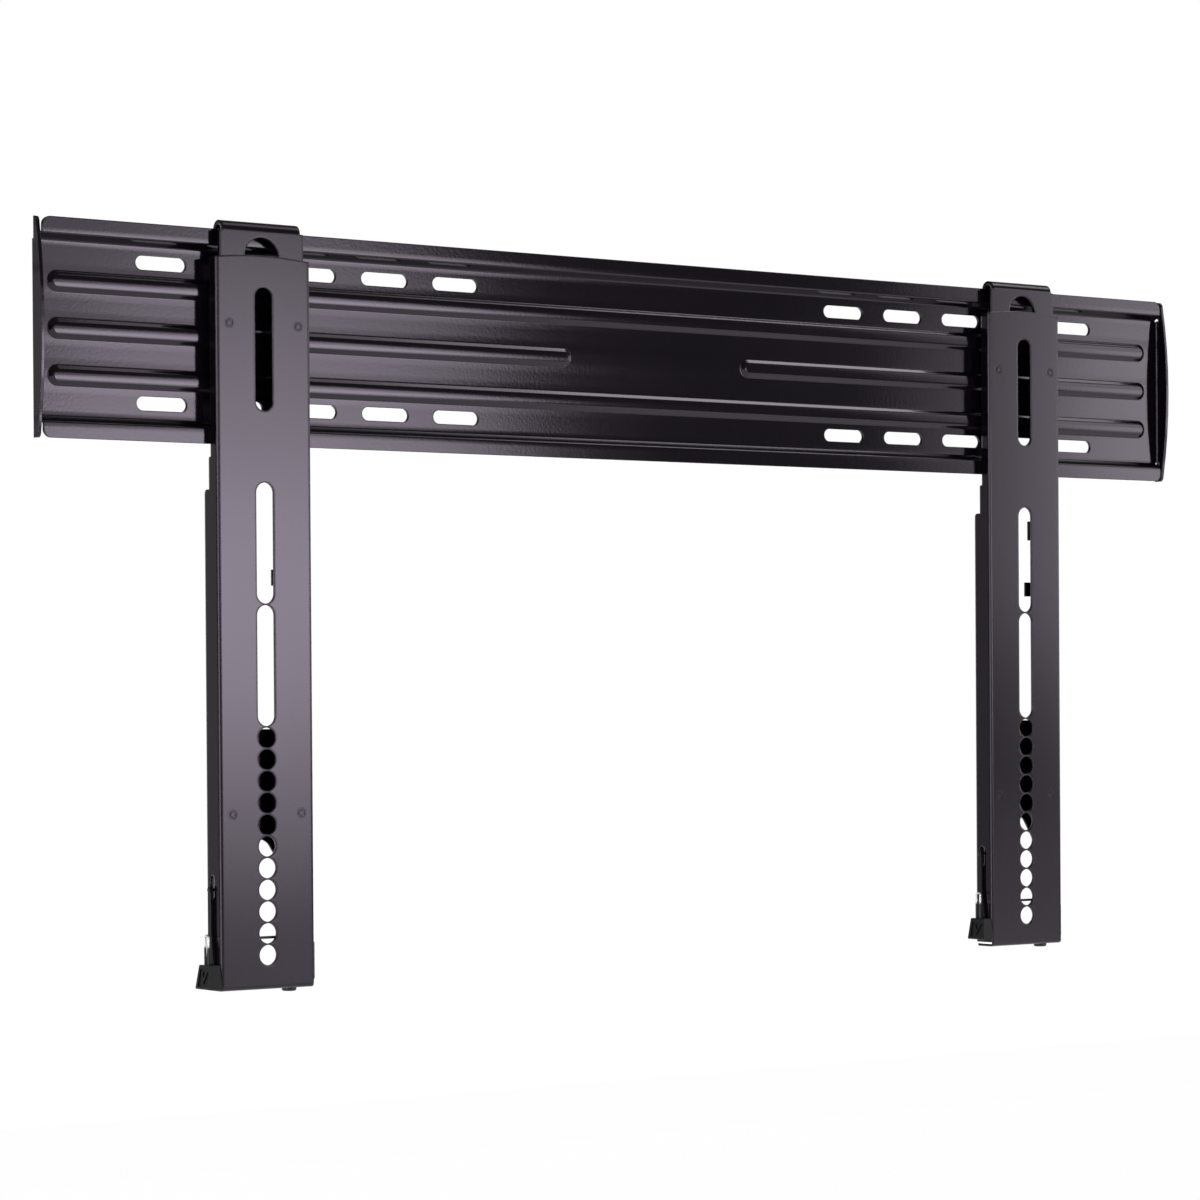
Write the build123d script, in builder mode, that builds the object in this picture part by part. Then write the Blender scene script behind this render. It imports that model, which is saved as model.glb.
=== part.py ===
"""Low-profile wall bracket for a flat television.

One pressed wall plate carries two upright brackets. Each bracket hangs by a rolled hook on the
plate's top rail and is held at the bottom rail by a sliding latch with a pull outside its left wall.

Frame: millimetres, X to the right along the plate, Z up, the wall is the plane Y = 0 and the
room is on the minus Y side. The origin is the middle of the wall plate's back face.
"""
import math
import os

from build123d import *

os.makedirs("parts", exist_ok=True)

# How near to a level an edge has to be to count as lying on it
pick_margin = 0.01

# Wall plate
plate_length = 874.8
plate_height = 125.1
plate_sheet = 2.0
rail_stand_off = 5.0
rail_height = 9.4
jog_height = 3.2
jog_bend_radius = 1.2
rail_corner_radius = 5.0
rail_end_gap = 1.5
slot_pitch = 50.8
slot_first_step = 3
slots_per_group = 5
plate_slot_length = 33.0
plate_slot_width = 8.0
slot_row_spacing = 80.8
rib_width = 11.6
rib_rise = 1.9
rib_spacing = 26.6
rib_taper = 54.0
rib_dome_radius = 23.0
rib_crest_round = 1.2
rib_foot_round = 1.4
rib_left_margin = 8.9
rib_right_margin = 14.4
rib_centre_gap = 133.6
flange_depth_middle = 11.9
flange_depth_end = 5.9
flange_ear_step = 2.4
flange_corner_radius = 3.2
flange_bend_radius = 1.2
flange_inner_radius = 1.0
relief_diameter = 2.6
relief_depth = 4.0

# Brackets: place on the plate and folded channel
bracket_left_x = -295.2
bracket_right_x = 299.2
channel_width = 63.4
channel_front = 15.4
channel_sheet = 1.6
channel_bend_radius = 1.8
wall_clearance = 0.2
rail_clearance = 0.5
middle_step_depth = 2.2
middle_step_below_plate = 7.3
deep_step_below_middle = 18.9
step_round = 2.4
face_below_plate_top = 14.7
face_arch_drop = 2.0
face_length = 428.1
bottom_bend_radius = 2.4
bottom_corner_gap = 1.2
bottom_flange_inset = 0.9

# Openings in the face
hole_diameter = 11.8
hole_web = 0.9
hole_count = 11
hole_bottom_margin = 20.0
top_slot_margin = 18.7
top_slot_length = 71.8
slot_bridge = 41.8
weld_mark_inset = 8.5
weld_mark_diameter = 5.0
weld_mark_line = 0.8
weld_mark_depth = 0.25
weld_mark_over_hook_end = 16.6
weld_mark_over_guide_end = 40.0

# Hook plate
hook_side_gap = 2.1
hook_sheet = 2.6
hook_clearance = 0.1
hang_gap = 0.15
hook_lip_length = 6.0
hook_overlap = 56.7
hook_roll_inset = 2.0
window_radius = 11.6
window_overlap = 1.1
hook_notch_margin = 2.45
hook_notch_rise = 4.0
hook_notch_round = 5.0

# Guide plate behind the upper round holes
guide_sheet = 1.5
guided_holes = 6
guide_top_gap = 1.0
guide_foot_drop = 8.4
guide_half_width = 17.5
guide_side_gap = 1.4
guide_bend_radius = 2.2
arch_over_hole = 11.8
arch_height = 25.6
arch_round = 9.0

# Retaining tabs folded inward from the right wall, behind the latch
upper_tab_below_step = 4.2
upper_tab_height = 12.9
upper_tab_reach = 14.5
lower_tab_below_step = 45.8
lower_tab_height = 9.5
lower_tab_reach = 17.6

# Release latch
latch_sheet = 1.5
latch_running_gap = 0.3
latch_engagement = 2.6
release_travel = 3.6
latch_side_gap = 2.4
latch_leg_width = 10.0
latch_cross_below_guide_top = 12.0
latch_cross_height = 22.0
latch_below_pin = 21.0
latch_ear_height = 34.0
latch_ear_reach = 6.5
latch_ear_gap = 0.6
latch_round = 1.5

# Pin that joins latch and pull through the slot in the left wall
pin_diameter = 1.8
pin_y = -5.6
pin_over_flange = 62.5
pin_slot_clearance = 1.2
pin_slot_overrun = 2.6
pin_head_diameter = 3.0
pin_head_height = 0.7
pin_fit = 0.05

# Pull
pull_wall_gap = 0.4
pull_over_flange = 5.0
pull_height = 14.0
pull_low_width = 8.8
pull_low_depth = 16.4
pull_low_y = -9.2
pull_top_width = 6.4
pull_top_depth = 13.0
pull_top_y = -8.2
pull_edge_round = 0.8
pull_neck_sheet = 1.6
pull_neck_top_width = 3.4
pull_neck_low_width = 9.4
pull_neck_taper_height = 20.0
pull_neck_over_pin = 2.2
panel_width = 10.4
panel_height = 10.0
panel_depth = 0.5
arrow_width = 7.4
arrow_height = 7.0
arrow_stroke = 1.7
arrow_rise = 0.5

# Cross wire behind the round holes, and the wire loop on the pull
wire_diameter = 1.6
wire_below_hole = 2.6
wire_y = -11.8
wire_fit = 0.05
loop_wire = 1.4
loop_rise = 17.0
loop_width = 3.8
loop_y = -6.6
loop_depth = 2.5
loop_bend_radius = 1.5

# Strip on the right wall, screw and nut in the bottom flange
strip_sheet = 0.8
strip_over_flange = 4.4
strip_height = 22.0
strip_depth = 9.0
screw_inset = 13.5
screw_y = -8.0
screw_diameter = 5.0
screw_hole_clearance = 0.25
screw_length = 12.0
screw_head_diameter = 8.8
screw_head_height = 2.2
screw_head_round = 1.2
recess_length = 4.6
recess_width = 1.1
recess_depth = 1.3
nut_across_flats = 8.0
nut_height = 4.0
nut_thread_gap = 0.05

# Derived sizes: wall plate
plate_half = plate_length / 2
plate_top = plate_height / 2
rail_front = rail_stand_off + plate_sheet
rail_low = plate_top - rail_height
jog_low = rail_low - jog_height
jog_shift = plate_sheet * math.tan(math.atan2(rail_stand_off, jog_height) / 2)
rail_half = plate_half - plate_sheet - rail_end_gap
relief_x = plate_half - plate_sheet
slot_steps = [slot_first_step + n for n in range(slots_per_group)]
slot_x = [side * step * slot_pitch for side in (-1, 1) for step in slot_steps]
slot_z = slot_row_spacing / 2
rib_crest = plate_sheet + rib_rise
rib_zone = rib_spacing + rib_width
rib_left = rib_left_margin - plate_half
rib_right = plate_half - rib_right_margin
rib_runs = [
    (rib_left, rib_right, rib_spacing),
    (rib_left, rib_right, -rib_spacing),
    (rib_left, -rib_centre_gap / 2, 0),
    (rib_centre_gap / 2, rib_right, 0),
]

# Derived sizes: channel and its openings
channel_half = channel_width / 2
inside_half = channel_half - channel_sheet
channel_inside = channel_front - channel_sheet
face_top_z = plate_top - face_below_plate_top
flange_low_z = face_top_z - face_length
flange_top_z = flange_low_z + channel_sheet
wall_low_z = flange_top_z + bottom_corner_gap
bottom_flange_half = channel_half - bottom_flange_inset
shallow_back = rail_front + rail_clearance
middle_back = shallow_back - middle_step_depth
middle_step_z = -plate_top - middle_step_below_plate
deep_step_z = middle_step_z - deep_step_below_middle
hole_pitch = hole_diameter + hole_web
hole_first_z = flange_low_z + hole_bottom_margin + (hole_count - 1) * hole_pitch
hole_z = [hole_first_z - n * hole_pitch for n in range(hole_count)]
top_slot_z = face_top_z - top_slot_margin - top_slot_length / 2
slot_run_top = top_slot_z - top_slot_length / 2 - slot_bridge
slot_run_low = hole_first_z + hole_diameter / 2 + hole_web
face_slot_length = (slot_run_top - slot_run_low - hole_web) / 2
face_slot_z = [slot_run_top - face_slot_length / 2, slot_run_low + face_slot_length / 2]

# Derived sizes: hook plate and guide plate
hook_half = inside_half - hook_side_gap
hook_outer = (channel_inside - rail_stand_off + hook_sheet + hook_clearance) / 2
hook_inner = hook_outer - hook_sheet
hook_centre_y = hook_outer - channel_inside
hook_seat = math.sqrt(hook_inner**2 - (rail_stand_off + hook_centre_y) ** 2)
hook_centre_z = plate_top + hang_gap - hook_seat
hook_lip_z = hook_centre_z - hook_lip_length
hook_low_z = face_top_z - hook_overlap
roll_half = hook_half - hook_roll_inset
window_low_z = face_top_z - window_overlap
hook_notch_width = hole_diameter + 2 * hook_notch_margin
hook_notch_top_z = face_top_z - top_slot_margin + hook_notch_rise
guide_top_z = hole_first_z + hole_diameter / 2 - guide_top_gap
guide_low_z = hole_z[guided_holes] - guide_foot_drop
guide_foot_half = inside_half - guide_side_gap
arch_top_z = hole_z[guided_holes - 1] + arch_over_hole
arch_half = guide_half_width - guide_sheet
weld_mark_x = channel_half - weld_mark_inset
weld_mark_z = [hook_low_z + weld_mark_over_hook_end, guide_low_z + weld_mark_over_guide_end]

# Derived sizes: latch, pin, pull and wires
tab_front = wall_clearance + channel_sheet
latch_back = tab_front + latch_running_gap
latch_front = latch_back + latch_sheet
guide_back = latch_front + latch_running_gap
latch_top_z = latch_engagement - plate_top
latch_outer_x = inside_half - latch_side_gap
latch_inner_x = latch_outer_x - latch_leg_width
latch_cross_top_z = guide_top_z - latch_cross_below_guide_top
latch_cross_low_z = latch_cross_top_z - latch_cross_height
ear_outer_x = inside_half - latch_ear_gap
pin_z = flange_low_z + pin_over_flange
latch_low_z = pin_z - latch_below_pin
pin_slot_width = pin_diameter + 2 * pin_slot_clearance
pin_slot_length = release_travel + pin_slot_width + 2 * pin_slot_overrun
pin_slot_z = pin_z - release_travel / 2
neck_inner_x = channel_half + pull_wall_gap
neck_outer_x = neck_inner_x + pull_neck_sheet
pull_low_z = flange_low_z + pull_over_flange
pull_top_z = pull_low_z + pull_height
wire_z = hole_z[-2] - wire_below_hole
loop_x = neck_inner_x + (pull_top_width + pull_neck_sheet) / 2
loop_legs = [loop_y - loop_width / 2, loop_y + loop_width / 2]
screw_x = channel_half - screw_inset

# Ribs of the wall plate: tapered bars whose crests are trimmed to a shallow dome
with BuildPart() as ribs:
    with BuildSketch(Plane.XZ.offset(plate_sheet)):
        for start, end, z in rib_runs:
            with Locations(((start + end) / 2, z)):
                SlotOverall(end - start, rib_width)
    extrude(amount=rib_rise + rib_crest_round / 2, taper=rib_taper)
    with BuildSketch(Plane.YZ.offset(-plate_half)):
        with Locations([(rib_dome_radius - rib_crest, z) for z in (-rib_spacing, 0, rib_spacing)]):
            Circle(rib_dome_radius)
    extrude(amount=plate_length, mode=Mode.INTERSECT)
    crest_low = rib_crest - rib_rise / 4
    fillet(ribs.edges().filter_by_position(Axis.Y, -2 * rib_crest, -crest_low), rib_crest_round)

# Wall plate: web, jogged rails, end flanges, ribs and slots
with BuildPart() as wall_plate:
    with BuildSketch(Plane.YZ.offset(-rail_half)):
        with BuildLine():
            Polyline(
                (0, -jog_low - jog_shift),
                (0, jog_low + jog_shift),
                (-rail_stand_off, rail_low + jog_shift),
                (-rail_stand_off, plate_top),
                (-rail_front, plate_top),
                (-rail_front, rail_low),
                (-plate_sheet, jog_low),
                (-plate_sheet, -jog_low),
                (-rail_front, -rail_low),
                (-rail_front, -plate_top),
                (-rail_stand_off, -plate_top),
                (-rail_stand_off, -rail_low - jog_shift),
                close=True,
            )
        plate_outline = make_face()
        bend_zone = rail_low + 2 * jog_shift
        bends = plate_outline.vertices().filter_by_position(Axis.Y, -bend_zone, bend_zone)
        fillet(bends, jog_bend_radius)
    extrude(amount=2 * rail_half)
    rail_corners = wall_plate.edges().filter_by(Axis.Y).group_by(Axis.Z)
    fillet(rail_corners[0] + rail_corners[-1], rail_corner_radius)
    for side in (-1, 1):
        with BuildSketch(Plane.XZ):
            with Locations((side * (rail_half - jog_low / 2 + plate_half) / 2, 0)):
                Rectangle(plate_half - rail_half + jog_low / 2, 2 * jog_low)
        extrude(amount=plate_sheet)
        with BuildSketch(Plane.YZ.offset(side * plate_half)):
            with BuildLine():
                free_edge = ThreePointArc(
                    (-flange_depth_end, plate_top),
                    (-flange_depth_middle, 0),
                    (-flange_depth_end, -plate_top),
                )
                Polyline(
                    free_edge @ 1,
                    (0, -plate_top),
                    (0, jog_low),
                    (-flange_ear_step, jog_low),
                    (-flange_ear_step, plate_top),
                    free_edge @ 0,
                )
            flange_outline = make_face()
            flange_ends = flange_outline.vertices().group_by(Axis.Y)
            free_corners = [flange_ends[n].sort_by(Axis.X)[0] for n in (0, -1)]
            fillet(free_corners, flange_corner_radius)
        extrude(amount=-side * plate_sheet)
        corner = wall_plate.edges().filter_by(Axis.Z).group_by(Axis.X)[0 if side < 0 else -1]
        fillet(corner.sort_by(Axis.Y)[-1:], flange_bend_radius)
    with BuildSketch(Plane.XZ):
        for side in (-1, 1):
            with Locations((side * relief_x, jog_low), (side * relief_x, -jog_low)):
                Circle(relief_diameter / 2)
    extrude(amount=relief_depth, mode=Mode.SUBTRACT)
    web_front = (-plate_sheet - pick_margin, -plate_sheet + pick_margin)
    folds = wall_plate.edges().filter_by(Axis.Z).filter_by_position(Axis.Y, *web_front)
    fillet(folds.filter_by_position(Axis.Z, -rib_zone, rib_zone), flange_inner_radius)
    add(ribs.part)
    rib_feet = wall_plate.edges().filter_by_position(Axis.Y, *web_front)
    rib_feet = rib_feet.filter_by_position(Axis.X, rib_left, rib_right)
    fillet(rib_feet.filter_by_position(Axis.Z, -rib_zone, rib_zone), rib_foot_round)
    with BuildSketch(Plane.XZ):
        for start, end, z in rib_runs:
            with Locations(((start + end) / 2, z)):
                SlotOverall(end - start - plate_sheet, rib_width - plate_sheet)
    extrude(amount=rib_rise, taper=rib_taper, mode=Mode.SUBTRACT)
    with BuildSketch(Plane.XZ):
        with Locations([(x, z) for x in slot_x for z in (-slot_z, slot_z)]):
            SlotOverall(plate_slot_length, plate_slot_width)
    extrude(amount=2 * plate_sheet, mode=Mode.SUBTRACT)
wall_plate.part.label = "wall_plate"
export_step(wall_plate.part, "parts/wall_plate.step")

# Two equal brackets; the left latch is drawn pulled down and the right one up
brackets = [("left", bracket_left_x, release_travel), ("right", bracket_right_x, 0.0)]
for name, bracket_x, drop in brackets:

    # Face channel: face, side walls, retaining tabs and bottom flange folded from one sheet
    with BuildPart() as face_channel:
        with BuildSketch(Plane.XY.offset(wall_low_z)):
            with Locations((bracket_x, -(channel_front + wall_clearance) / 2)):
                channel_outline = Rectangle(channel_width, channel_front - wall_clearance)
            fillet(channel_outline.vertices().group_by(Axis.Y)[0], channel_bend_radius)
            with Locations((bracket_x, -channel_inside / 2)):
                Rectangle(2 * inside_half, channel_inside, mode=Mode.SUBTRACT)
        extrude(amount=face_top_z - wall_low_z)
        with BuildSketch(Plane.YZ.offset(bracket_x - bottom_flange_half)):
            with BuildLine():
                Polyline(
                    (-channel_front, wall_low_z),
                    (-channel_front, flange_low_z),
                    (-wall_clearance, flange_low_z),
                    (-wall_clearance, flange_top_z),
                    (-channel_inside, flange_top_z),
                    (-channel_inside, wall_low_z),
                    close=True,
                )
            flange_section = make_face()
            fold = flange_section.vertices().group_by(Axis.Y)[0].sort_by(Axis.X)[:1]
            fillet(fold, bottom_bend_radius)
        extrude(amount=2 * bottom_flange_half)
        with BuildSketch(Plane.XZ):
            with BuildLine():
                arch = ThreePointArc(
                    (bracket_x - channel_half, face_top_z - face_arch_drop),
                    (bracket_x, face_top_z),
                    (bracket_x + channel_half, face_top_z - face_arch_drop),
                )
                Polyline(
                    arch @ 1,
                    (bracket_x + channel_width, face_top_z - face_arch_drop),
                    (bracket_x + channel_width, face_top_z + face_arch_drop),
                    (bracket_x - channel_width, face_top_z + face_arch_drop),
                    (bracket_x - channel_width, face_top_z - face_arch_drop),
                    arch @ 0,
                )
            make_face()
        extrude(amount=2 * channel_front, mode=Mode.SUBTRACT)
        with BuildSketch(Plane.YZ.offset(bracket_x - channel_width)):
            with BuildLine():
                Polyline(
                    (0, deep_step_z),
                    (-middle_back, deep_step_z),
                    (-middle_back, middle_step_z),
                    (-shallow_back, middle_step_z),
                    (-shallow_back, face_top_z + channel_front),
                    (0, face_top_z + channel_front),
                    close=True,
                )
            make_face()
        extrude(amount=2 * channel_width, mode=Mode.SUBTRACT)
        for step_z, round_radius in ((deep_step_z, step_round), (middle_step_z, step_round / 2)):
            across = face_channel.edges().filter_by(Axis.X)
            at_step = across.filter_by_position(Axis.Z, step_z - pick_margin, step_z + pick_margin)
            fillet(at_step.group_by(Axis.Y)[-1], round_radius)
        with BuildSketch(Plane.XZ.offset(wall_clearance)):
            with Locations((bracket_x + inside_half, deep_step_z - upper_tab_below_step)):
                Rectangle(upper_tab_reach, upper_tab_height, align=(Align.MAX, Align.MAX))
            with Locations((bracket_x + inside_half, deep_step_z - lower_tab_below_step)):
                Rectangle(lower_tab_reach, lower_tab_height, align=(Align.MAX, Align.MAX))
        extrude(amount=channel_sheet)
        with BuildSketch(Plane.XZ.offset(channel_front)):
            with Locations((bracket_x, top_slot_z)):
                SlotOverall(top_slot_length, hole_diameter, rotation=90)
            with Locations([(bracket_x, z) for z in face_slot_z]):
                SlotOverall(face_slot_length, hole_diameter, rotation=90)
            with Locations([(bracket_x, z) for z in hole_z]):
                Circle(hole_diameter / 2)
        extrude(amount=-channel_sheet, mode=Mode.SUBTRACT)
        with BuildSketch(Plane.XZ.offset(channel_front)):
            with Locations([(bracket_x + side * weld_mark_x, z) for side in (-1, 1) for z in weld_mark_z]):
                Circle(weld_mark_diameter / 2)
                Circle(weld_mark_diameter / 2 - weld_mark_line, mode=Mode.SUBTRACT)
        extrude(amount=-weld_mark_depth, mode=Mode.SUBTRACT)
        with BuildSketch(Plane.YZ.offset(bracket_x - channel_half)):
            with Locations((pin_y, pin_slot_z)):
                SlotOverall(pin_slot_length, pin_slot_width, rotation=90)
        extrude(amount=channel_sheet, mode=Mode.SUBTRACT)
        with BuildSketch(Plane.YZ.offset(bracket_x - channel_half)):
            with Locations((wire_y, wire_z)):
                Circle(wire_diameter / 2 + wire_fit)
        extrude(amount=channel_width, mode=Mode.SUBTRACT)
        with BuildSketch(Plane.XY.offset(flange_low_z)):
            with Locations((bracket_x + screw_x, screw_y)):
                Circle(screw_diameter / 2 + screw_hole_clearance)
        extrude(amount=channel_sheet, mode=Mode.SUBTRACT)
    face_channel.part.label = name + "_face_channel"
    export_step(face_channel.part, f"parts/{name}_face_channel.step")

    # Hook plate: welded behind the face, rolled over the top rail
    with BuildPart() as hook_plate:
        with BuildSketch(Plane.YZ.offset(bracket_x - roll_half)):
            with BuildLine():
                front = Line((-channel_inside, hook_low_z), (-channel_inside, hook_centre_z))
                roll = ThreePointArc(
                    front @ 1,
                    (hook_centre_y, hook_centre_z + hook_outer),
                    (hook_centre_y + hook_outer, hook_centre_z),
                )
                lip = Polyline(
                    roll @ 1,
                    (hook_centre_y + hook_outer, hook_lip_z),
                    (hook_centre_y + hook_inner, hook_lip_z),
                    (hook_centre_y + hook_inner, hook_centre_z),
                )
                inside = ThreePointArc(
                    lip @ 1,
                    (hook_centre_y, hook_centre_z + hook_inner),
                    (hook_centre_y - hook_inner, hook_centre_z),
                )
                Polyline(inside @ 1, (hook_centre_y - hook_inner, hook_low_z), front @ 0)
            make_face()
        extrude(amount=2 * roll_half)
        with BuildSketch(Plane.XZ.offset(channel_inside)):
            with Locations((bracket_x, (hook_centre_z + hook_low_z) / 2)):
                Rectangle(2 * hook_half, hook_centre_z - hook_low_z)
        extrude(amount=-hook_sheet)
        with BuildSketch(Plane.XZ.offset(channel_inside)):
            with Locations((bracket_x, window_low_z)):
                Circle(window_radius)
            with Locations((bracket_x, window_low_z - window_radius / 2)):
                Rectangle(2 * window_radius, window_radius, mode=Mode.SUBTRACT)
            with Locations((bracket_x, (hook_notch_top_z + hook_low_z) / 2)):
                notch = Rectangle(hook_notch_width, hook_notch_top_z - hook_low_z)
            fillet(notch.vertices().group_by(Axis.Y)[-1], hook_notch_round)
        extrude(amount=-hook_sheet, mode=Mode.SUBTRACT)
    hook_plate.part.label = name + "_hook_plate"
    export_step(hook_plate.part, f"parts/{name}_hook_plate.step")

    # Guide plate: hat section welded behind the face, open below in a rounded gable
    with BuildPart() as guide_plate:
        with BuildSketch(Plane.XY.offset(guide_low_z)):
            with Locations((bracket_x, -(channel_inside + guide_back) / 2)):
                hat = Rectangle(2 * guide_half_width, channel_inside - guide_back)
            fillet(hat.vertices().group_by(Axis.Y)[-1], guide_bend_radius)
            with Locations((bracket_x, -channel_inside + guide_sheet / 2)):
                Rectangle(2 * guide_foot_half, guide_sheet)
            with Locations((bracket_x, -(channel_inside + guide_back + guide_sheet) / 2)):
                Rectangle(2 * arch_half, channel_inside - guide_back - guide_sheet, mode=Mode.SUBTRACT)
        extrude(amount=guide_top_z - guide_low_z)
        with BuildSketch(Plane.XZ.offset(guide_back)):
            with BuildLine():
                Polyline(
                    (bracket_x, arch_top_z),
                    (bracket_x + arch_half, arch_top_z - arch_height),
                    (bracket_x + arch_half, guide_low_z),
                    (bracket_x - arch_half, guide_low_z),
                    (bracket_x - arch_half, arch_top_z - arch_height),
                    close=True,
                )
            gable = make_face()
            fillet(gable.vertices().group_by(Axis.Y)[-1], arch_round)
        extrude(amount=guide_sheet, mode=Mode.SUBTRACT)
    guide_plate.part.label = name + "_guide_plate"
    export_step(guide_plate.part, f"parts/{name}_guide_plate.step")

    # Latch bar: flat strip whose top stands behind the bottom rail until it is pulled down
    with BuildPart() as latch_bar:
        with BuildSketch(Plane.XZ.offset(latch_back)):
            with BuildLine():
                Polyline(
                    (bracket_x + latch_inner_x, latch_top_z - drop),
                    (bracket_x + latch_outer_x, latch_top_z - drop),
                    (bracket_x + latch_outer_x, latch_cross_low_z - drop),
                    (bracket_x - latch_inner_x, latch_cross_low_z - drop),
                    (bracket_x - latch_inner_x, latch_low_z - drop),
                    (bracket_x - ear_outer_x, latch_low_z - drop),
                    (bracket_x - ear_outer_x, latch_low_z + latch_ear_height - drop),
                    (bracket_x - latch_outer_x, latch_low_z + latch_ear_height - drop),
                    (bracket_x - latch_outer_x, latch_cross_top_z - drop),
                    (bracket_x + latch_inner_x, latch_cross_top_z - drop),
                    close=True,
                )
            latch_outline = make_face()
            fillet(latch_outline.vertices().group_by(Axis.Y)[-1], latch_round)
        extrude(amount=latch_sheet)
        with BuildSketch(Plane.YZ.offset(bracket_x - ear_outer_x)):
            with Locations((-latch_back - latch_ear_reach / 2, latch_low_z + latch_ear_height / 2 - drop)):
                ear = Rectangle(latch_ear_reach, latch_ear_height)
            fillet(ear.vertices().group_by(Axis.X)[0], latch_round)
            with Locations((pin_y, pin_z - drop)):
                Circle(pin_diameter / 2 + pin_fit, mode=Mode.SUBTRACT)
        extrude(amount=latch_sheet)
    latch_bar.part.label = name + "_latch_bar"
    export_step(latch_bar.part, f"parts/{name}_latch_bar.step")

    # Latch pin: headed pin through pull, wall slot and latch ear
    with BuildPart() as latch_pin:
        with BuildSketch(Plane.YZ.offset(bracket_x - neck_outer_x)):
            with Locations((pin_y, pin_z - drop)):
                Circle(pin_diameter / 2)
        extrude(amount=neck_outer_x - ear_outer_x + latch_sheet)
        with BuildSketch(Plane.YZ.offset(bracket_x - neck_outer_x)):
            with Locations((pin_y, pin_z - drop)):
                Circle(pin_head_diameter / 2)
        extrude(amount=-pin_head_height)
        head_rim = latch_pin.edges().group_by(Axis.X)[0]
        fillet(head_rim, pin_head_height / 2)
    latch_pin.part.label = name + "_latch_pin"
    export_step(latch_pin.part, f"parts/{name}_latch_pin.step")

    # Pull: flared handle with a framed arrow, a tapered neck up to the pin and two holes for its loop
    with BuildPart() as release_pull:
        with BuildSketch(Plane.XY.offset(pull_low_z - drop)):
            with Locations((bracket_x - neck_inner_x - pull_low_width / 2, pull_low_y)):
                Rectangle(pull_low_width, pull_low_depth)
        with BuildSketch(Plane.XY.offset(pull_top_z - drop)):
            with Locations((bracket_x - neck_inner_x - pull_top_width / 2, pull_top_y)):
                Rectangle(pull_top_width, pull_top_depth)
        loft()
        arrow_side = release_pull.faces().sort_by(Axis.X)[0]
        arrow_plane = Plane(
            origin=arrow_side.center(),
            x_dir=(0, 1, 0),
            z_dir=arrow_side.normal_at(arrow_side.center()),
        )
        fillet(release_pull.edges().filter_by(Axis.Y), pull_edge_round)
        with BuildSketch(arrow_plane):
            Rectangle(panel_width, panel_height)
        extrude(amount=-panel_depth, mode=Mode.SUBTRACT)
        with BuildSketch(arrow_plane.offset(-panel_depth)):
            with BuildLine():
                Polyline(
                    (-arrow_width / 2, -arrow_height / 2),
                    (0, arrow_height / 2),
                    (arrow_width / 2, -arrow_height / 2),
                    (arrow_width / 2 - arrow_stroke, -arrow_height / 2),
                    (0, arrow_height / 2 - 2 * arrow_stroke),
                    (arrow_stroke - arrow_width / 2, -arrow_height / 2),
                    close=True,
                )
            make_face()
        extrude(amount=arrow_rise)
        neck_top_z = pin_z + pull_neck_over_pin - drop
        neck_low_z = pull_top_z - pull_height / 4 - drop
        neck_taper_z = pull_top_z + pull_neck_taper_height - drop
        with BuildSketch(Plane.YZ.offset(bracket_x - neck_outer_x)):
            with BuildLine():
                Polyline(
                    (pin_y - pull_neck_low_width / 2, neck_low_z),
                    (pin_y + pull_neck_low_width / 2, neck_low_z),
                    (pin_y + pull_neck_top_width / 2, neck_taper_z),
                    (pin_y + pull_neck_top_width / 2, neck_top_z),
                    (pin_y - pull_neck_top_width / 2, neck_top_z),
                    (pin_y - pull_neck_top_width / 2, neck_taper_z),
                    close=True,
                )
            neck = make_face()
            fillet(neck.vertices().group_by(Axis.Y)[-1], pull_neck_top_width / 3)
            with Locations((pin_y, pin_z - drop)):
                Circle(pin_diameter / 2 + pin_fit, mode=Mode.SUBTRACT)
        extrude(amount=pull_neck_sheet)
        with BuildSketch(Plane.XY.offset(pull_top_z - drop)):
            with Locations([(bracket_x - loop_x, leg_y) for leg_y in loop_legs]):
                Circle(loop_wire / 2 + wire_fit)
        extrude(amount=-loop_depth, mode=Mode.SUBTRACT)
    release_pull.part.label = name + "_release_pull"
    export_step(release_pull.part, f"parts/{name}_release_pull.step")

    # Pull loop: bent wire standing on the handle
    with BuildPart() as pull_loop:
        loop_low_z = pull_top_z - loop_depth - drop
        loop_top_z = pull_top_z + loop_rise - drop
        with BuildLine() as loop_path:
            FilletPolyline(
                (bracket_x - loop_x, loop_legs[0], loop_low_z),
                (bracket_x - loop_x, loop_legs[0], loop_top_z),
                (bracket_x - loop_x, loop_legs[1], loop_top_z),
                (bracket_x - loop_x, loop_legs[1], loop_low_z),
                radius=loop_bend_radius,
            )
        with BuildSketch(Plane(origin=loop_path.line @ 0, z_dir=loop_path.line % 0)):
            Circle(loop_wire / 2)
        sweep(path=loop_path.line)
    pull_loop.part.label = name + "_pull_loop"
    export_step(pull_loop.part, f"parts/{name}_pull_loop.step")

    # Cross wire: straight wire held in both side walls
    with BuildPart() as cross_wire:
        with BuildSketch(Plane.YZ.offset(bracket_x - channel_half)):
            with Locations((wire_y, wire_z)):
                Circle(wire_diameter / 2)
        extrude(amount=channel_width)
    cross_wire.part.label = name + "_cross_wire"
    export_step(cross_wire.part, f"parts/{name}_cross_wire.step")

    # Side strip: thin plate on the outside of the right wall
    with BuildPart() as side_strip:
        with BuildSketch(Plane.YZ.offset(bracket_x + channel_half)):
            strip_y = channel_bend_radius + strip_depth / 2 - channel_front
            with Locations((strip_y, flange_low_z + strip_over_flange + strip_height / 2)):
                strip = Rectangle(strip_depth, strip_height)
            fillet(strip.vertices(), strip_sheet)
        extrude(amount=strip_sheet)
    side_strip.part.label = name + "_side_strip"
    export_step(side_strip.part, f"parts/{name}_side_strip.step")

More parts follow.
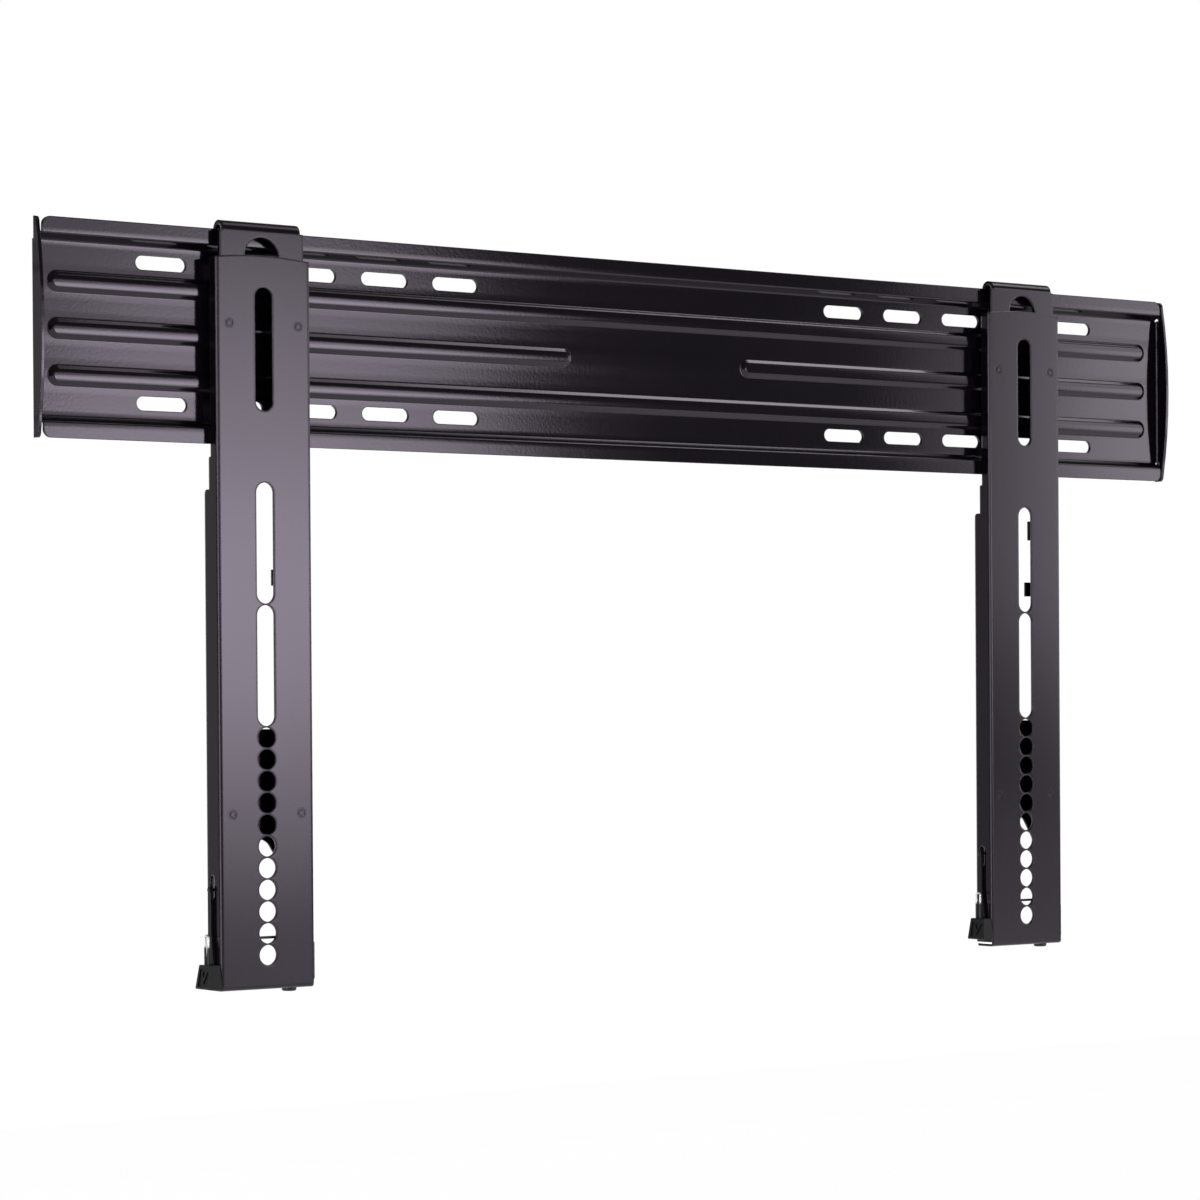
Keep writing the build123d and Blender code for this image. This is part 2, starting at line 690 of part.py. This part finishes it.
    # Lock screw: low round head under the bottom flange
    with BuildPart() as lock_screw:
        with BuildSketch(Plane.XY.offset(flange_low_z)):
            with Locations((bracket_x + screw_x, screw_y)):
                Circle(screw_diameter / 2)
        extrude(amount=screw_length)
        with BuildSketch(Plane.XY.offset(flange_low_z)):
            with Locations((bracket_x + screw_x, screw_y)):
                Circle(screw_head_diameter / 2)
        extrude(amount=-screw_head_height)
        fillet(lock_screw.edges().group_by(Axis.Z)[0], screw_head_round)
        with BuildSketch(Plane.XY.offset(flange_low_z - screw_head_height)):
            with Locations((bracket_x + screw_x, screw_y)):
                Rectangle(recess_length, recess_width)
                Rectangle(recess_width, recess_length)
        extrude(amount=recess_depth, mode=Mode.SUBTRACT)
    lock_screw.part.label = name + "_lock_screw"
    export_step(lock_screw.part, f"parts/{name}_lock_screw.step")

    # Lock nut on top of the bottom flange
    with BuildPart() as lock_nut:
        with BuildSketch(Plane.XY.offset(flange_top_z)):
            with Locations((bracket_x + screw_x, screw_y)):
                RegularPolygon(nut_across_flats / 2, 6, major_radius=False)
                Circle(screw_diameter / 2 + nut_thread_gap, mode=Mode.SUBTRACT)
        extrude(amount=nut_height)
    lock_nut.part.label = name + "_lock_nut"
    export_step(lock_nut.part, f"parts/{name}_lock_nut.step")
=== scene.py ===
# %% [markdown]
# # A low-profile wall bracket for a television, dressed for its picture
# The real thing is pressed and folded from steel sheet: one wall plate, and two upright brackets that hang on
# it, each with a latch. These shapes could be modelled again here, but the packed CAD solids already hold every
# bend and hole, so they are loaded and kept as they are. What is left for Blender is finish, camera and light.

import math

import bmesh
import bpy
from mathutils import Matrix, Vector


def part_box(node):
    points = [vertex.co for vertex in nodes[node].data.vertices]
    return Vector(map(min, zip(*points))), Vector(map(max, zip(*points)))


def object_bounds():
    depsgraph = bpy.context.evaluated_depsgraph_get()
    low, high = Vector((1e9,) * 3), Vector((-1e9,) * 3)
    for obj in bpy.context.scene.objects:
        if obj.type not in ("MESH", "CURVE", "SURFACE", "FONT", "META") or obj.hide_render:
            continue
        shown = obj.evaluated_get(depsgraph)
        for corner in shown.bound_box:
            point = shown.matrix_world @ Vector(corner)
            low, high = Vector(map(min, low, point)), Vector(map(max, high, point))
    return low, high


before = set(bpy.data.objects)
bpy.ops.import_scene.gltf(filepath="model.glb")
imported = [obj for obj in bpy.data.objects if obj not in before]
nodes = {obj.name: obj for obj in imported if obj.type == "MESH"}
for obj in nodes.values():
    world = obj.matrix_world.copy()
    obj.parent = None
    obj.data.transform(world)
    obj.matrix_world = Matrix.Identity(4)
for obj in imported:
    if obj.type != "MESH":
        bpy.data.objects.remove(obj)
cad_low, cad_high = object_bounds()
print("nodes:", len(nodes), "box:", [round(v, 4) for v in (*cad_low, *cad_high)])

# %% [markdown]
# ## Camera
# The photograph was taken from the front left, a little below the plate, with a long lens held nearly level.
# A tilted camera could frame the bracket too, but its uprights would lean together. A level lens keeps them
# parallel, and shifting the film frames the picture, so the same shift is used here.

# %% Camera at the photograph's angle
image_size = 1200
focal_pixels = 3728.8
film_width = 36.0
frame_shift = (-0.0004, 0.1144)
far_limit = 60.0
camera_place = Vector((-1.40613, -1.89725, -0.21184))
turn_right, tilt_up, roll = (math.radians(a) for a in (35.668, -0.592, 0.379))

camera_data = bpy.data.cameras.new("photo_camera")
camera_data.sensor_width = film_width
camera_data.lens = focal_pixels / image_size * film_width
camera_data.shift_x, camera_data.shift_y = frame_shift
camera_data.clip_end = far_limit
camera = bpy.data.objects.new("photo_camera", camera_data)
bpy.context.collection.objects.link(camera)
look_level = Matrix.Rotation(math.radians(90), 4, "X")
camera.matrix_world = (
    Matrix.Translation(camera_place)
    @ Matrix.Rotation(-turn_right, 4, "Z")
    @ Matrix.Rotation(tilt_up, 4, "X")
    @ Matrix.Rotation(roll, 4, "Y")
    @ look_level
)
bpy.context.scene.camera = camera
print("lens:", round(camera_data.lens, 1), "mm, from the plate:", round(camera_place.length, 2), "m")

# %% [markdown]
# ## Shader maths as plain expressions
# A finish is a graph of nodes, and a graph could be wired up one link at a time. Wrapping a socket in a small
# class is easier to read: a mask is then written as `1 - noise * 0.5`, and one method adds any other node with
# its settings and links.


# %% A socket that can be added and multiplied
class Flow:
    """A value in a node tree: arithmetic on it adds Math nodes."""

    def __init__(self, tree, socket=None):
        self.tree = tree
        self.socket = socket

    def node(self, kind, settings=None, inputs=None, output=0):
        """Adds a node of any kind: its settings first, then the values or links of its sockets."""
        made = self.tree.nodes.new(kind)
        for name, value in (settings or {}).items():
            setattr(made, name, value)
        for name, value in (inputs or {}).items():
            if isinstance(value, Flow):
                self.tree.links.new(value.socket, made.inputs[name])
            else:
                made.inputs[name].default_value = value
        return Flow(self.tree, made.outputs[output] if made.outputs else None)

    def math(self, operation, first, second):
        return self.node("ShaderNodeMath", {"operation": operation}, {0: first, 1: second})

    def __add__(self, other):
        return self.math("ADD", self, other)

    def __sub__(self, other):
        return self.math("SUBTRACT", self, other)

    def __rsub__(self, other):
        return self.math("SUBTRACT", other, self)

    def __mul__(self, other):
        return self.math("MULTIPLY", self, other)

    __radd__ = __add__
    __rmul__ = __mul__

    def mix(self, low, high):
        """A colour between two colours, by this value."""
        colours = {"Factor": self, 6: (*low, 1.0), 7: (*high, 1.0)}
        return self.node("ShaderNodeMix", {"data_type": "RGBA"}, colours, output=2)

    def noise(self, place, scale, detail=2.0):
        return self.node("ShaderNodeTexNoise", None, {"Vector": place, "Scale": scale, "Detail": detail})

    def soft_step(self, reach, heights=(0.0, 1.0)):
        """Goes smoothly from one height to the other while this value crosses the reach."""
        ends = {"From Min": reach[0], "From Max": reach[1], "To Min": heights[0], "To Max": heights[1]}
        settings = {"interpolation_type": "SMOOTHSTEP"}
        return self.node("ShaderNodeMapRange", settings, {"Value": self, **ends})


print("a Flow makes nodes by:", [word for word in vars(Flow) if not word.startswith("_")])


# %% Begin and end a material
def new_material(name):
    """An empty material, its node maker, and the Object coordinates of what wears it."""
    material = bpy.data.materials.new(name)
    material.use_nodes = True
    material.node_tree.nodes.clear()
    flow = Flow(material.node_tree)
    return material, flow, flow.node("ShaderNodeTexCoord", output=3)


def close_material(flow, shader):
    flow.node("ShaderNodeOutputMaterial", None, {"Surface": shader})


trial, flow, place = new_material("trial")
mask = 1 - flow.noise(place, 5.0) * 0.5
print("1 - noise * 0.5 took", [node.type for node in trial.node_tree.nodes])
bpy.data.materials.remove(trial)

# %% [markdown]
# ## Black powder paint
# The steel is sprayed black and baked. The coat flows out smooth but not flat: it keeps a fine orange peel, and
# its gloss changes softly from place to place. One flat black would look like plastic, so a slow noise varies
# colour and roughness, and a very shallow bump is the peel. A Bevel node rounds the edges of the sheet in the
# shading alone, as thick paint does, and leaves the solid untouched.

# %% Paint of the brackets
peel_grain = 520.0
gloss_grain, gloss_spread = 14.0, 0.04
paint_dark, paint_light = (0.0038, 0.0026, 0.0046), (0.0055, 0.0038, 0.0066)
paint_tint = (0.94, 0.82, 1.0, 1.0)
paint_index = 1.5
edge_samples = 6


def black_paint(name, roughness, peel_depth, edge_round, pressed=None):
    material, flow, place = new_material(name)
    cloud = flow.noise(place, gloss_grain, 3.0)
    relief = flow.noise(place, peel_grain) * peel_depth
    if pressed:
        relief = relief + pressed(flow, place)
    soft_edge = flow.node("ShaderNodeBevel", {"samples": edge_samples}, {"Radius": edge_round})
    bump = flow.node(
        "ShaderNodeBump", None, {"Strength": 1.0, "Distance": 1.0, "Height": relief, "Normal": soft_edge}
    )
    shader = flow.node(
        "ShaderNodeBsdfPrincipled",
        None,
        {
            "Base Color": cloud.mix(paint_dark, paint_light),
            "Roughness": roughness - gloss_spread / 2 + cloud * gloss_spread,
            "IOR": paint_index,
            "Specular Tint": paint_tint,
            "Normal": bump,
        },
    )
    close_material(flow, shader)
    return material


bracket_paint = black_paint("bracket_paint", roughness=0.15, peel_depth=0.000011, edge_round=0.0016)
print(bracket_paint.name, "has", len(bracket_paint.node_tree.nodes), "nodes")

# %% [markdown]
# ## The pressed plate under its paint
# The plate is glossier than the brackets. Pressing ribs and rails also pulls the sheet beside them slightly out
# of flat: half a millimetre at most, which the solid leaves out, but gloss paint shows it. Mirrored light
# brightens under each rib, fades above the next, and draws a line along the bends of the top rail. Soft steps
# in the bump, at the height of ribs and bends, are enough for that.

# %% Paint of the plate, with soft steps beside ribs and rail bends
rib_spacing, rib_reach, rib_swell = 0.0266, (0.002, 0.0105), 0.00011
bend_reach, bend_swell = (0.0465, 0.0565), 0.0005


def pressed_swell(flow, place):
    height = flow.node("ShaderNodeSeparateXYZ", None, {"Vector": place}, output=2)
    off_middle = flow.math("ABSOLUTE", height, 0.0)
    off_rib = flow.math("PINGPONG", height, rib_spacing / 2)
    ribbed = flow.math("LESS_THAN", off_middle, 1.5 * rib_spacing)
    beside_ribs = off_rib.soft_step(rib_reach, (rib_swell, 0.0))
    return beside_ribs * ribbed + off_middle.soft_step(bend_reach, (0.0, bend_swell))


plate_paint = black_paint(
    "plate_paint", roughness=0.10, peel_depth=0.000018, edge_round=0.0008, pressed=pressed_swell
)
print(plate_paint.name, "has", len(plate_paint.node_tree.nodes), "nodes")

# %% [markdown]
# ## Matt plastic of the pulls
# The pulls are moulded in black plastic with a fine spark-eroded grain, which is why they mirror less than the
# painted steel beside them. The grain is far too small to model, so one noise drives both a tiny bump and the
# roughness, and a lower specular level keeps the pulls dark.

# %% Plastic
grain_scale, grain_depth, grain_strength = 2600.0, 0.00004, 0.5
smudge_scale = 90.0
plastic_dark, plastic_light = (0.005, 0.004, 0.005), (0.008, 0.007, 0.009)
plastic_gloss_level = 0.25


def pull_plastic():
    material, flow, place = new_material("pull_plastic")
    grain = flow.noise(place, grain_scale)
    smudge = flow.noise(place, smudge_scale)
    bump = flow.node(
        "ShaderNodeBump", None, {"Strength": grain_strength, "Distance": grain_depth, "Height": grain}
    )
    shader = flow.node(
        "ShaderNodeBsdfPrincipled",
        None,
        {
            "Base Color": smudge.mix(plastic_dark, plastic_light),
            "Roughness": 0.34 + grain * 0.14,
            "Specular IOR Level": plastic_gloss_level,
            "Normal": bump,
        },
    )
    close_material(flow, shader)
    return material


plastic = pull_plastic()
print(plastic.name, "has", len(plastic.node_tree.nodes), "nodes")

# %% [markdown]
# ## Wire of the loops
# A loop of drawn wire is bent over the neck of each pull. Its material is light and metallic at the bend and turns
# dark and less metallic down its legs towards the handle, fading along the height in one material so that the
# loop's mesh stays whole. Each loop gets its own copy, because the two pulls stand at different heights.

# %% Wire
drawn_scale = 1500.0
bright_length = 0.0065
fade_length = 0.3 * bright_length
wire_dull, wire_bright = (0.03, 0.028, 0.03), (0.93, 0.92, 0.91)


def loop_wire(name):
    material, flow, place = new_material(name + "_wire")
    bright_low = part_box(name)[1].z - bright_length
    height = flow.node("ShaderNodeSeparateXYZ", None, {"Vector": place}, output=2)
    bright = height.soft_step((bright_low - fade_length, bright_low))
    drawn = flow.noise(place, drawn_scale)
    shader = flow.node(
        "ShaderNodeBsdfPrincipled",
        None,
        {
            "Base Color": bright.mix(wire_dull, wire_bright),
            "Metallic": bright * 0.5 + 0.2,
            "Roughness": 0.30 + drawn * 0.14,
        },
    )
    close_material(flow, shader)
    return material


loop_wires = {name: loop_wire(name) for name in nodes if name.endswith("pull_loop")}
print("wires:", [wire.name for wire in loop_wires.values()])

# %% [markdown]
# ## Blackened steel
# Screw, nut, pin and cross wire are blackened in a bath and oiled: part metal, part dark oxide, with small
# patches that shine more or less. A noise of a few millimetres for colour and roughness gives those patches.

# %% Steel of the small fasteners
oxide_scale, oxide_detail = 420.0, 4.0
oxide_dark, oxide_light = (0.010, 0.009, 0.010), (0.024, 0.022, 0.024)


def blackened_steel():
    material, flow, place = new_material("blackened_steel")
    oxide = flow.noise(place, oxide_scale, oxide_detail)
    shader = flow.node(
        "ShaderNodeBsdfPrincipled",
        None,
        {
            "Base Color": oxide.mix(oxide_dark, oxide_light),
            "Metallic": 0.30,
            "Roughness": 0.24 + oxide * 0.2,
        },
    )
    close_material(flow, shader)
    return material


dark_steel = blackened_steel()
print(dark_steel.name, "has", len(dark_steel.node_tree.nodes), "nodes")

# %% [markdown]
# ## Every node gets its finish
# Each solid is one piece of the real bracket with one finish all over, so a material slot per node is all that is
# needed. The names of the nodes say what they are, and everything that is not named here is painted sheet.

# %% Give each node its finish
steel_words = ("latch_pin", "cross_wire", "lock_screw", "lock_nut")


def finish_of(name):
    if name == "wall_plate":
        return plate_paint
    if name.endswith("release_pull"):
        return plastic
    if name.endswith(steel_words):
        return dark_steel
    return loop_wires.get(name, bracket_paint)


worn = {}
for name, node in nodes.items():
    finish = finish_of(name)
    node.data.materials.clear()
    node.data.materials.append(finish)
    worn[finish.name] = worn.get(finish.name, 0) + 1
print("finishes:", worn)

# %% [markdown]
# ## Floor
# The bracket is pictured on plain white with nothing near it. A pale sheet well below it, reaching towards the
# viewer, stands for the studio floor. Lighting it to white would also flood the bracket, so the floor is white
# only to rays from the camera and to those that come by way of gloss or glass. All other light meets matt paint.

# %% Floor sheet
floor_drop = 0.45
floor_half = 4.5
floor_middle = (0.0, -1.5)

mesh = bmesh.new()
bmesh.ops.create_grid(mesh, x_segments=1, y_segments=1, size=floor_half)
bmesh.ops.translate(mesh, verts=mesh.verts, vec=(*floor_middle, cad_low.z - floor_drop))
floor_mesh = bpy.data.meshes.new("floor")
mesh.to_mesh(floor_mesh)
mesh.free()
floor = bpy.data.objects.new("floor", floor_mesh)
bpy.context.collection.objects.link(floor)
print("floor:", 2 * floor_half, "m wide at height", round(cad_low.z - floor_drop, 3), "m")

# %% Floor finish
floor_dark, floor_light, floor_patches = (0.86, 0.86, 0.86), (0.90, 0.90, 0.90), 3.0
floor_white = 0.985
white_paper = {"Color": (1, 1, 1, 1), "Strength": 1.0}


def seen_rays(flow):
    """One for a ray from the camera, and one for a ray that gloss or glass has sent on."""
    path = flow.node("ShaderNodeLightPath").socket.node.outputs
    ray_kinds = ("Is Camera Ray", "Is Glossy Ray", "Is Transmission Ray")
    camera_ray, glossy_ray, clear_ray = (Flow(flow.tree, path[kind]) for kind in ray_kinds)
    return camera_ray, glossy_ray + clear_ray


floor_finish, flow, place = new_material("pale_floor")
direct, mirrored = seen_rays(flow)
seen = flow.math("MINIMUM", direct + mirrored, 1.0)
pale = flow.noise(place, floor_patches).mix(floor_dark, floor_light)
matt = flow.node(
    "ShaderNodeBsdfPrincipled", None, {"Base Color": pale, "Roughness": 1.0, "Specular IOR Level": 0.0}
)
white = flow.node("ShaderNodeEmission", None, white_paper)
close_material(flow, flow.node("ShaderNodeMixShader", None, {0: seen * floor_white, 1: matt, 2: white}))
floor_mesh.materials.append(floor_finish)
print(floor_finish.name, "has", len(floor_finish.node_tree.nodes), "nodes")

# %% [markdown]
# ## World
# Behind the bracket is white paper, and the rest of the studio is dim. A world that is white all round would turn
# black gloss paint grey, so the camera sees white everywhere, mirrored rays see white only where the paper hangs
# behind the bracket, and all other rays meet a quiet grey.

# %% White backdrop in a quiet room
room_light = 0.12
backdrop_edge = (0.80, 0.95)
backdrop_way = camera.matrix_world.to_3x3() @ Vector((0, 0, -1))

world = bpy.data.worlds.new("studio")
world.use_nodes = True
world.node_tree.nodes.clear()
flow = Flow(world.node_tree)
direct, mirrored = seen_rays(flow)
way = flow.node("ShaderNodeTexCoord", output=0)
facing = flow.node("ShaderNodeVectorMath", {"operation": "DOT_PRODUCT"}, {0: way, 1: backdrop_way}, output=1)
seen = flow.math("MINIMUM", direct + mirrored * facing.soft_step(backdrop_edge), 1.0)
quiet = flow.node("ShaderNodeBackground", None, {"Color": (1, 1, 1, 1), "Strength": room_light})
white = flow.node("ShaderNodeBackground", None, white_paper)
mixed = flow.node("ShaderNodeMixShader", None, {0: seen, 1: quiet, 2: white})
flow.node("ShaderNodeOutputWorld", None, {"Surface": mixed})
bpy.context.scene.world = world
print("backdrop:", [round(math.degrees(math.acos(edge))) for edge in backdrop_edge], "degrees off the view")

# %% [markdown]
# ## Key light
# Black gloss shows the lamps that it mirrors and little else, so each grey on the bracket is a softbox seen in
# the paint. The photograph's main light is brightest in the middle and fades all round. One large lamp would
# have a hard edge in the mirror, so five flatter and flatter ellipses lie one in front of the other, and their
# light adds up. A lamp's power is worked out from how bright it should look in a mirror, which the eye can judge.


# %% Softbox helper and key light
def soft_panel(name, place, facing, size, radiance, shape="ELLIPSE"):
    """A softbox of the given size in metres that looks this bright in a mirror."""
    lamp = bpy.data.lights.new(name, "AREA")
    lamp.shape = shape
    lamp.size, lamp.size_y = size
    fill = math.pi / 4 if shape == "ELLIPSE" else 1.0
    lamp.energy = radiance * math.pi * fill * size[0] * size[1]
    panel = bpy.data.objects.new(name, lamp)
    panel.matrix_world = Matrix.Translation(place) @ facing.to_track_quat("-Z", "Y").to_matrix().to_4x4()
    bpy.context.collection.objects.link(panel)
    print(f"{name}: {size[0]:.2f} x {size[1]:.2f} m, {lamp.energy:.1f} W")


to_wall = Vector((0, 1, 0))
front_y, layer_gap = -2.5, 0.01
key_z, key_z_step = 0.01, -0.022
key_radiance, key_radiance_step = 1.6, -0.07
key_layers = (  # left edge, right edge, height
    (0.37, 1.68, 1.06),
    (0.79, 1.61, 0.90),
    (0.73, 1.57, 0.69),
    (0.49, 1.51, 0.465),
    (0.53, 1.47, 0.24),
)
for n, (left, right, height) in enumerate(key_layers):
    key_place = Vector(((left + right) / 2, front_y + layer_gap * n, key_z + key_z_step * n))
    soft_panel(f"key_{n}", key_place, to_wall, (right - left, height), key_radiance + key_radiance_step * n)

# %% [markdown]
# ## Side light and fills
# The right bracket and the right end of the plate mirror a second light that comes up in steps from left to
# right. Rectangles that share their right edge and start further right each time make that slope. One weak panel
# lies low, for the lower half of the right bracket. Another stands far behind on the left, for the side walls.

# %% Side light, low fill and left fill
side_right, side_radiance = 3.6, 0.84
side_foot, side_foot_step = -0.10, -0.10
side_layers = (  # left edge, top
    (2.34, 1.30),
    (2.52, 1.30),
    (2.60, 1.30),
    (2.65, 0.42),
    (2.70, 0.36),
)
for n, (left, top) in enumerate(side_layers):
    foot = side_foot + side_foot_step * n
    side_place = Vector(((left + side_right) / 2, front_y + layer_gap * n, (foot + top) / 2))
    soft_panel(f"side_{n}", side_place, to_wall, (side_right - left, top - foot), side_radiance, "RECTANGLE")
soft_panel("low_fill", Vector((2.2, front_y, -0.80)), to_wall, size=(2.4, 0.85), radiance=0.6)
soft_panel("left_fill", Vector((-2.8, 4.0, -0.3)), Vector((0.5, -1, 0)), size=(1.8, 2.0), radiance=0.25)

# %% [markdown]
# ## Overhead light
# The upper flanks of ribs and rails tilt towards the ceiling, and the thin bright lines along them are a lamp up
# there. The lines fade towards the left end, so three sheets of light overlap, each with its own left edge.

# %% Overhead light
straight_down = Vector((0, 0, -1))
overhead_y, overhead_z, overhead_depth = -0.55, 2.0, 1.1
overhead_layers = (  # left edge, right edge, radiance
    (0.65, 2.6, 1.1),
    (1.12, 2.6, 1.0),
    (1.36, 2.0, 2.0),
)
for n, (left, right, radiance) in enumerate(overhead_layers):
    overhead_place = Vector(((left + right) / 2, overhead_y, overhead_z + layer_gap * n))
    overhead_size = (right - left, overhead_depth)
    soft_panel(f"overhead_{n}", overhead_place, straight_down, overhead_size, radiance, "RECTANGLE")

# %% [markdown]
# ## Edge lights and back light
# Folded edges and end flanges turn away from the lights so far. Panels at the left and right give them thin bright
# lines that set black steel off from its own shadow. The back of the plate would be a black shape without a light
# of its own, so one wide panel stands behind, for whoever walks round the bracket.

# %% Edge lights and back light
soft_panel("edge_light", Vector((-0.8, -2.6, 0.2)), to_wall, size=(0.5, 0.8), radiance=3.5)
left_place, left_way = Vector((-2.95, -0.96, -0.1)), Vector((1, 0.33, 0))
soft_panel("left_rim", left_place, left_way, size=(1.8, 1.1), radiance=4.5, shape="RECTANGLE")
soft_panel("right_rim", Vector((3.3, -0.7, 0.2)), Vector((-1, 0.2, 0)), size=(1.2, 1.2), radiance=2.5)
back_place, back_way = Vector((0.95, 2.4, -0.1)), Vector((0, -1, 0))
soft_panel("back_panel", back_place, back_way, size=(4.1, 1.4), radiance=1.2, shape="RECTANGLE")

# %% [markdown]
# ## View
# The Standard view shows a colour about as it is written, which suits a part that goes on to other scenes. Nothing
# was added to the shape.

# %% View settings and the end
bpy.context.scene.view_settings.view_transform = "Standard"
